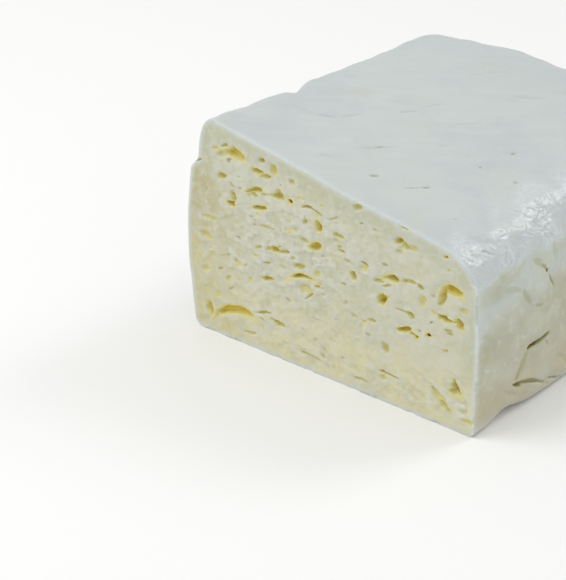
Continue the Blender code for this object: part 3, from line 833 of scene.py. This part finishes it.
def standOnOrigin(block, low, high):
    # from millimetres to metres, on the frame's own origin and inside the solid's box
    middle = Vector(((low[0] + high[0]) / 2, (low[1] + high[1]) / 2, low[2]))
    block.data.transform(Matrix.Translation(-middle))
    block.data.transform(Matrix.Scale(mm, 4))
    points = readPoints(block.data)
    writePoints(block.data, np.clip(points, np.array(cadBox[0]), np.array(cadBox[1])))
    return middle


def linear(hexColour):
    channels = [int(hexColour[i:i + 2], 16) / 255 for i in (1, 3, 5)]
    return [c / 12.92 if c <= 0.04045 else ((c + 0.055) / 1.055) ** 2.4 for c in channels] + [1.0]


def addNode(tree, kind, settings, links):
    # a setting or link is named by its socket, or by its number where names repeat
    node = tree.nodes.new(kind)
    for name, value in settings.items():
        if isinstance(name, int) or name in node.inputs:
            node.inputs[name].default_value = value
        else:
            setattr(node, name, value)
    for name, source in links.items():
        tree.links.new(source, node.inputs[name])
    return node


# fresh brined curd, moulded in a cloth and cut: a cool white skin, a creamy cut, and gaps
# that glow straw to gold where light has crossed the curd
brinedCurd = {
    "skin": "#C9CFCC",
    "flesh": "#CCCCB8",
    "measures": (  # noted by the carving
        "rimDepth", "rind", "butter", "stain", "halo", "crumb",
        "wetFilm", "foldGlint", "wall", "lowWallShade", "wallRise", "crease", "cutDistance", "height",
    ),
    "patterns": {  # lump size in millimetres, detail, distortion, squeeze along the block
        "clouds": (28.0, 3.0, 0.4, 1.0),
        "blotches": (15.0, 3.0, 0.2, 0.6),
        "mottle": (6.0, 3.0, 0.2, 0.6),
        "curds": (2.4, 3.0, 0.5, 0.8),
        "grain": (0.6, 3.0, 0.0, 1.0),  # drawn coarser than the real grain, so that it shows
    },
    # what drives each tint, where it starts and is full, its colour and strength, and for
    # some a second driver that keeps it to one place
    "skinTints": (
        ("clouds", 0.42, 0.66, "#C2C9CA", 0.8),
        ("blotches", 0.56, 0.76, "#C9CBBD", 0.5),
        # darker and bluer away from the cut: painted shade
        ("cutDistance", 50.0, 125.0, "#BFC8C8", 0.45),
        ("wall", 0.0, 1.0, "#C8D1CB", 0.8),
        # darker and warmer low on the walls: painted shade and warm bounce light
        ("lowWallShade", 0.0, 1.0, "#B9B69D", 0.85),
        ("blotches", 0.44, 0.68, "#C1C1AB", 0.45, "wall"),
        ("mottle", 0.45, 0.70, "#CBCDB9", 0.5, "wall"),
        ("curds", 0.52, 0.74, "#D6DAD4", 0.5, "wall"),
        # olive and darker where the walls sink, lighter where they swell: painted shade and painted
        # light on the cloth's relief
        ("wallRise", -0.10, -0.80, "#B0B18C", 0.5),
        ("wallRise", 0.10, 0.90, "#CFD2C8", 0.6),
        # darker and warmer still towards the foot of those walls: painted shade and bounce light
        ("height", 24.0, 0.0, "#C2B891", 0.6, "lowWallShade"),
        # darker and warmer towards the foot everywhere: painted shade and warm bounce light from
        # the floor
        ("height", 20.0, 0.0, "#C7C1A8", 0.5),
        # a pale bluish line on the skin along the cut's edge, broken by the curds pattern: painted
        # highlight
        ("cutDistance", 2.6, 0.3, "#D2DAD8", 0.9, "curds"),
        # lighter and bluer where the wet film lies: partly its milky white, partly painted sheen
        ("wetFilm", 0.05, 0.70, "#D2DADA", 0.7),
        # white on the ridges of the film's wrinkles: painted glints
        ("foldGlint", 0.40, 1.10, "#DEE5E5", 0.5),
    ),
    "fleshTints": (
        ("blotches", 0.42, 0.68, "#CFCA9C", 0.45),
        ("rind", 0.0, 1.0, "#BFC1A6", 0.9),
        # lighter and warmer towards the foot of the cut: painted bounce light
        ("height", 30.0, 6.0, "#DDD6AC", 0.8),
        ("butter", 0.0, 1.0, "#BAB282", 0.85),
        # lighter and warmer still low on the left: painted bounce light
        ("height", 46.0, 22.0, "#D8CE96", 0.65, "butter"),
        ("mottle", 0.46, 0.66, "#C3C3A6", 0.6),
        ("curds", 0.46, 0.70, "#D0D1C2", 0.5),
        # darker in the hollows of the torn curd: painted shade
        ("crumb", -0.02, -0.28, "#C4C4A6", 0.6),
        # whiter on its crumbs: partly pale curd, partly painted highlight
        ("crumb", 0.00, 0.42, "#D6DACF", 0.75),
    ),
    "bodyTints": (
        ("halo", 0.00, 0.50, "#CDCEC4", 0.4),
        ("halo", 0.72, 0.97, "#D8D08C", 0.65),
        ("stain", 0.04, 0.40, "#D6D08E", 0.9),
        ("stain", 0.42, 1.00, "#DEC546", 1.0),
        # dark brown where a stain runs past 1.1, in the deepest pits: painted shade
        ("stain", 1.12, 1.45, "#4A3A1C", 1.0),
        ("crease", 0.03, 0.45, "#B3B384", 0.9),
        ("crease", 0.45, 1.20, "#94793A", 1.0),
        # near black in the deepest slits and pits of the skin: painted shade
        ("crease", 1.30, 2.20, "#2E1F08", 1.0),
    ),
    "rimBlend": (0.2, 2.0),  # millimetres over which the skin's colour turns to the cut's
    "grainStrength": 0.4,
    "grainHeight": 0.1,  # millimetres
    "roughness": 0.42,
    "wetRoughness": 0.18,
    "wetFrom": 0.6,  # as glossy as it gets with this much film
    "ior": 1.42,  # fat and brine
    "scatter": (1.0, 0.92, 0.72),
    "scatterDepth": 1.3,  # millimetres
    "scatterWeight": 0.35,
}


def makeCurdMaterial():
    # skin and flesh are tinted on their own, some tints being painted shade, light and sheen, meet
    # at the rim, and share the gaps' stains and painted shade
    material = bpy.data.materials.new("brinedCurd")
    material.use_nodes = True
    tree = material.node_tree
    shader = tree.nodes["Principled BSDF"]
    coords = addNode(tree, "ShaderNodeTexCoord", {}, {}).outputs["Object"]
    drivers = {}
    for name in brinedCurd["measures"]:
        noted = addNode(tree, "ShaderNodeAttribute", {"attribute_name": name}, {})
        drivers[name] = noted.outputs["Fac"]
    for name, (size, detail, distortion, squeeze) in brinedCurd["patterns"].items():
        settings = {"Scale": (1.0, squeeze, 1.0)}
        drawn = addNode(tree, "ShaderNodeMapping", settings, {"Vector": coords})
        settings = {"Scale": 1 / (size * mm), "Detail": detail, "Distortion": distortion}
        lumps = addNode(tree, "ShaderNodeTexNoise", settings, {"Vector": drawn.outputs["Vector"]})
        drivers[name] = lumps.outputs["Fac"]

    colours = {}
    for part in ("skin", "flesh"):
        colours[part] = addNode(tree, "ShaderNodeRGB", {}, {}).outputs[0]
        colours[part].default_value = linear(brinedCurd[part])
    for part in ("skin", "flesh", "body"):
        if part == "body":
            edge, clear = brinedCurd["rimBlend"]
            settings = {"From Min": edge, "From Max": clear}
            inward = addNode(tree, "ShaderNodeMapRange", settings, {"Value": drivers["rimDepth"]})
            links = {0: inward.outputs["Result"], 6: colours["skin"], 7: colours["flesh"]}
            colours[part] = addNode(tree, "ShaderNodeMix", {"data_type": "RGBA"}, links).outputs[2]
        for driver, start, full, tint, strength, *places in brinedCurd[part + "Tints"]:
            settings = {"From Min": start, "From Max": full, "To Max": strength}
            settings["interpolation_type"] = "SMOOTHSTEP"
            links = {"Value": drivers[driver]}
            share = addNode(tree, "ShaderNodeMapRange", settings, links).outputs[0]
            for place in places:
                links = {0: share, 1: drivers[place]}
                share = addNode(tree, "ShaderNodeMath", {"operation": "MULTIPLY"}, links).outputs[0]
            settings = {"data_type": "RGBA", 7: linear(tint)}
            links = {0: share, 6: colours[part]}
            colours[part] = addNode(tree, "ShaderNodeMix", settings, links).outputs[2]
    tree.links.new(colours["body"], shader.inputs["Base Color"])

    settings = {"Strength": brinedCurd["grainStrength"], "Distance": brinedCurd["grainHeight"] * mm}
    grain = addNode(tree, "ShaderNodeBump", settings, {"Height": drivers["grain"]})
    tree.links.new(grain.outputs["Normal"], shader.inputs["Normal"])
    settings = {
        "From Max": brinedCurd["wetFrom"],
        "To Min": brinedCurd["roughness"],
        "To Max": brinedCurd["wetRoughness"],
    }
    gloss = addNode(tree, "ShaderNodeMapRange", settings, {"Value": drivers["wetFilm"]})
    tree.links.new(gloss.outputs["Result"], shader.inputs["Roughness"])
    shader.inputs["IOR"].default_value = brinedCurd["ior"]
    shader.inputs["Subsurface Weight"].default_value = brinedCurd["scatterWeight"]
    shader.inputs["Subsurface Radius"].default_value = brinedCurd["scatter"]
    shader.inputs["Subsurface Scale"].default_value = brinedCurd["scatterDepth"] * mm
    return material


def makeCheese():
    block = makeBlock()
    points = readPoints(block.data)
    low, high = points.min(axis=0), points.max(axis=0)
    print("cheese: block formed,", len(block.data.polygons), "faces")
    carve(block)
    thin(block, blockForm["triangles"])
    middle = standOnOrigin(block, low, high)
    block.data.shade_smooth()
    sharpenRim(block.data)
    block.data.materials.clear()
    block.data.materials.append(makeCurdMaterial())
    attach(block, "root")
    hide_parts("cheese_block")
    print("cheese: finished")
    return middle


studio = {
    "floorColour": "#F9F9F8",
    "floorRoughness": 0.9,
    "floorSize": 6.0,  # metres
    "worldColour": "#FFFFFF",
    "worldStrength": 0.68,
    "lights": (  # name, place in metres, size, watts
        ("keyLight", (-0.48, -0.6, 0.96), 0.72, 4.9),
        ("shoulderLight", (0.8, 2.1, 2.0), 1.1, 15.4),
    ),
}


def makeStudio():
    bpy.ops.mesh.primitive_plane_add(size=studio["floorSize"])
    floor = bpy.context.object
    floor.name = "studioFloor"
    paper = bpy.data.materials.new("matteBackdropPaper")  # unglazed card, so it gives no shine
    paper.use_nodes = True
    shader = paper.node_tree.nodes["Principled BSDF"]
    shader.inputs["Base Color"].default_value = linear(studio["floorColour"])
    shader.inputs["Roughness"].default_value = studio["floorRoughness"]
    floor.data.materials.append(paper)
    world = bpy.data.worlds.new("softRoom")
    world.use_nodes = True
    background = world.node_tree.nodes["Background"]
    background.inputs["Color"].default_value = linear(studio["worldColour"])
    background.inputs["Strength"].default_value = studio["worldStrength"]
    bpy.context.scene.world = world
    for name, place, size, watts in studio["lights"]:
        lamp = bpy.data.lights.new(name, "AREA")
        lamp.size = size
        lamp.energy = watts
        light = bpy.data.objects.new(name, lamp)
        light.location = place
        light.rotation_euler = (-Vector(place)).to_track_quat("-Z", "Y").to_euler()
        bpy.context.scene.collection.objects.link(light)
    bpy.context.scene.view_settings.view_transform = "Standard"
    print("studio: lit")


camera = {
    "lens": 107.07,  # millimetres, on a 36 mm sensor
    "fromCutFoot": (0.3042, -0.3708, 0.2682),  # metres from the middle of the cut's foot
    "heading": 41.0,  # degrees
    "pitch": 26.3,  # degrees below level
}


def makeCamera(middle):
    data = bpy.data.cameras.new("camera")
    data.lens = camera["lens"]
    view = bpy.data.objects.new("camera", data)
    cutFoot = Vector((-middle.x * mm, -middle.y * mm, 0.0))
    view.location = cutFoot + Vector(camera["fromCutFoot"])
    view.rotation_euler = (math.radians(90 - camera["pitch"]), 0.0, math.radians(camera["heading"]))
    bpy.context.scene.collection.objects.link(view)
    bpy.context.scene.camera = view


blockMiddle = makeCheese()
makeStudio()
makeCamera(blockMiddle)
